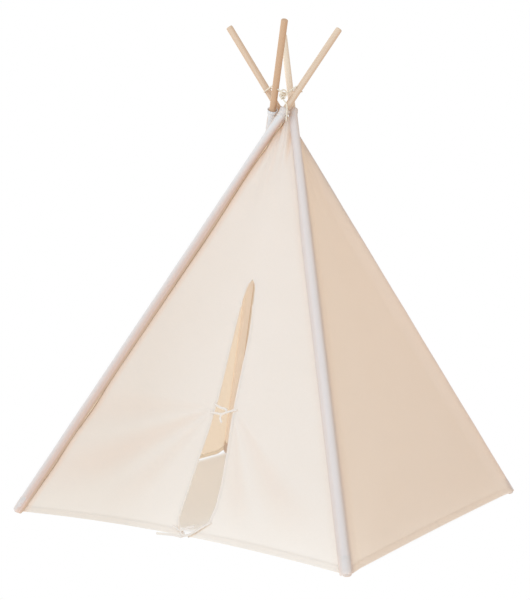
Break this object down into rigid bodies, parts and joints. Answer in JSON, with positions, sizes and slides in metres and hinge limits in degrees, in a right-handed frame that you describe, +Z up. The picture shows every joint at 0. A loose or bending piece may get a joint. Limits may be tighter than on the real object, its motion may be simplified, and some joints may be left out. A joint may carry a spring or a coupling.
{
  "type": "kids teepee",
  "caption": "Pointed play tent: canvas cover with corner sleeves on wooden poles roped together near the top, with a tied door slit.",
  "frame": {"origin": "on the floor, in the middle of the four feet", "axes": "+Z up to the pole tips; the door faces -Y; +X to the right as one faces the door"},
  "size_m": [1.24, 1.24, 1.5828],
  "materials": {
    "canvas": "plain weave",
    "rope": "twisted cotton",
    "tie": "braided cotton",
    "wood": "sanded, unvarnished",
    "steel": "satin"
  },
  "bodies": {
    "cover": {"panel_back": "canvas", "panel_left": "canvas", "panel_right": "canvas", "panel_front_left": "canvas", "panel_front_right": "canvas", "hem_back": "canvas", "hem_left": "canvas", "hem_right": "canvas", "hem_front_left": "canvas", "hem_front_right": "canvas", "lashing_rope": "rope", "lashing_knot": "rope", "rope_loop": "rope", "rope_tail": "rope"},
    "flap_left": {"door_flap_left": "canvas", "upper_tie_left": "tie", "lower_tie_left": "tie"},
    "flap_right": {"door_flap_right": "canvas", "upper_tie_right": "tie", "lower_tie_right": "tie"},
    "leg_front_left": {"pole_lower_front_left": "wood", "pole_upper_front_left": "wood", "ferrule_front_left": "steel", "sleeve_front_left": "canvas", "foot_pocket_front_left": "canvas"},
    "leg_front_right": {"pole_lower_front_right": "wood", "pole_upper_front_right": "wood", "ferrule_front_right": "steel", "sleeve_front_right": "canvas", "foot_pocket_front_right": "canvas"},
    "leg_back_right": {"pole_lower_back_right": "wood", "pole_upper_back_right": "wood", "ferrule_back_right": "steel", "sleeve_back_right": "canvas", "foot_pocket_back_right": "canvas"},
    "leg_back_left": {"pole_lower_back_left": "wood", "pole_upper_back_left": "wood", "ferrule_back_left": "steel", "sleeve_back_left": "canvas", "foot_pocket_back_left": "canvas"}
  },
  "joints": [
    {"name": "fold_front_left", "type": "hinge", "parent": "cover", "child": "leg_front_left", "pos_m": [0.05719, 0.00655, 1.378], "axis": [0.6985, -0.7154, -0.0183], "range_deg": [0, 26], "deforming": ["panel_back", "panel_left", "panel_right", "panel_front_left", "panel_front_right", "hem_back", "hem_left", "hem_right", "hem_front_left", "hem_front_right", "lashing_rope"]},
    {"name": "fold_front_right", "type": "hinge", "parent": "cover", "child": "leg_front_right", "pos_m": [-0.00655, 0.05719, 1.378], "axis": [0.7154, 0.6985, -0.0183], "range_deg": [0, 26]},
    {"name": "fold_back_right", "type": "hinge", "parent": "cover", "child": "leg_back_right", "pos_m": [-0.05719, -0.00655, 1.378], "axis": [-0.6985, 0.7154, -0.0183], "range_deg": [0, 26]},
    {"name": "fold_back_left", "type": "hinge", "parent": "cover", "child": "leg_back_left", "pos_m": [0.00655, -0.05719, 1.378], "axis": [-0.7154, -0.6985, -0.0183], "range_deg": [0, 26]},
    {"name": "open_flap_left", "type": "hinge", "parent": "cover", "child": "flap_left", "pos_m": [0.0396, -0.28659, 0.69031], "axis": [-0.2711, -0.4036, -0.8738], "range_deg": [0, 140]},
    {"name": "open_flap_right", "type": "hinge", "parent": "cover", "child": "flap_right", "pos_m": [0.08141, -0.28659, 0.69031], "axis": [-0.2527, 0.4057, 0.8784], "range_deg": [0, 140]}
  ],
  "couplings": [
    {"joint": "fold_front_right", "follows": "fold_front_left", "ratio": 1},
    {"joint": "fold_back_right", "follows": "fold_front_left", "ratio": 1},
    {"joint": "fold_back_left", "follows": "fold_front_left", "ratio": 1}
  ]
}
